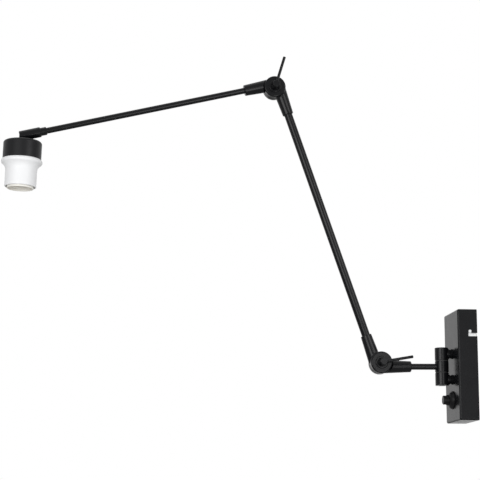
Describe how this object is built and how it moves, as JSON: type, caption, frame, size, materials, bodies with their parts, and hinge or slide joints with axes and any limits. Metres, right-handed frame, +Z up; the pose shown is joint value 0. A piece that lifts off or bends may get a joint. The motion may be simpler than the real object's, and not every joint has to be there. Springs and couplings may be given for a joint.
{
  "type": "articulating wall lamp",
  "caption": "Articulating wall lamp: slim black wall box with dimmer knob and swivel hinge, folding tubular arm with lever-clamped elbows, tilting white lampholder under a black cap.",
  "frame": {"origin": "on the wall, midway between the two wall screws and at the middle of the wall box", "axes": "+X along the wall to the side that carries the clamp levers, +Y into the wall, +Z up; the arm reaches out along -Y and lies in the plane X = 0 at rest"},
  "size_m": [0.073, 0.6235, 0.4856],
  "materials": {
    "black_enamel": "satin black powder coat",
    "zinc_steel": "zinc plated",
    "black_plastic": "fine matt",
    "white_plastic": "smooth white",
    "cream_plastic": "smooth",
    "grey_plastic": "moulded",
    "brass": "bright",
    "black_rubber": "matt",
    "nylon": "matt",
    "brown_insulation": "satin",
    "blue_insulation": "satin",
    "green_insulation": "satin with a yellow stripe"
  },
  "bodies": {
    "wall_unit": {"wall_cover": "black_enamel", "wall_bracket": "zinc_steel", "hang_pins": "zinc_steel", "cover_lock_screw": "zinc_steel", "cable_grommet": "black_rubber", "hinge_plate": "zinc_steel", "stud_washers": "zinc_steel", "stud_nuts": "zinc_steel", "hinge_studs": "black_enamel", "hinge_standoffs": "black_enamel", "hinge_knuckle_top": "black_enamel", "hinge_knuckle_bottom": "black_enamel", "hinge_washers": "nylon", "hinge_pin": "zinc_steel", "hinge_end_plugs": "black_plastic", "dimmer_body": "grey_plastic", "dimmer_bush": "zinc_steel", "dimmer_nut": "zinc_steel", "dimmer_bezel": "black_plastic", "terminal_block": "white_plastic", "terminal_tubes": "brass", "terminal_screws": "zinc_steel", "earth_screw": "zinc_steel", "wire_live": "brown_insulation", "wire_switched": "brown_insulation", "wire_neutral": "blue_insulation", "wire_earth": "green_insulation"},
    "dimmer_control": {"dimmer_knob": "black_plastic", "dimmer_shaft": "grey_plastic"},
    "swing_arm": {"hinge_knuckle_middle": "black_enamel", "short_tube": "black_enamel", "short_cable": "black_rubber", "lower_elbow_rear": "black_enamel", "lower_elbow_bolt": "zinc_steel", "lower_friction_disc": "nylon"},
    "lower_arm": {"lower_elbow_front": "black_enamel", "lower_tube": "black_enamel", "lower_cable": "black_rubber", "upper_elbow_front": "black_enamel"},
    "upper_arm": {"upper_elbow_rear": "black_enamel", "upper_elbow_bolt": "zinc_steel", "upper_friction_disc": "nylon", "upper_tube": "black_enamel", "upper_cable": "black_rubber", "head_collar": "black_enamel", "head_block": "black_enamel", "head_pivot_pin": "black_enamel"},
    "lower_lever": {"lower_lever_hub": "black_enamel", "lower_lever_rod": "black_enamel"},
    "upper_lever": {"upper_lever_hub": "black_enamel", "upper_lever_rod": "black_enamel"},
    "head": {"head_stem": "black_enamel", "head_cap": "black_enamel", "head_lock_nut": "zinc_steel", "lampholder_skirt": "white_plastic", "lampholder_insert": "cream_plastic", "lampholder_thread_shell": "brass", "lampholder_centre_contact": "brass", "lampholder_screws": "brass", "lampholder_leads": "brown_insulation"}
  },
  "joints": [
    {"name": "arm_swing", "type": "hinge", "parent": "wall_unit", "child": "swing_arm", "pos_m": [0, -0.0395, 0], "axis": [0, 0, 1], "range_deg": [-90, 90]},
    {"name": "lower_elbow_fold", "type": "hinge", "parent": "swing_arm", "child": "lower_arm", "pos_m": [0, -0.12204, 0.00413], "axis": [1, 0, 0], "range_deg": [-30, 60]},
    {"name": "upper_elbow_fold", "type": "hinge", "parent": "lower_arm", "child": "upper_arm", "pos_m": [0, -0.26143, 0.37391], "axis": [1, 0, 0], "range_deg": [-80, 55]},
    {"name": "head_tilt", "type": "hinge", "parent": "upper_arm", "child": "head", "pos_m": [0, -0.59502, 0.29881], "axis": [-1, 0, 0], "range_deg": [-15, 60]},
    {"name": "lower_lever_turn", "type": "hinge", "parent": "swing_arm", "child": "lower_lever", "pos_m": [0, -0.12204, 0.00413], "axis": [1, 0, 0], "range_deg": [0, 120]},
    {"name": "upper_lever_turn", "type": "hinge", "parent": "upper_arm", "child": "upper_lever", "pos_m": [0, -0.26143, 0.37391], "axis": [1, 0, 0], "range_deg": [0, 120]},
    {"name": "dimmer_turn", "type": "hinge", "parent": "wall_unit", "child": "dimmer_control", "pos_m": [0, -0.03, -0.044], "axis": [0, 1, 0], "range_deg": [0, 270]}
  ]
}
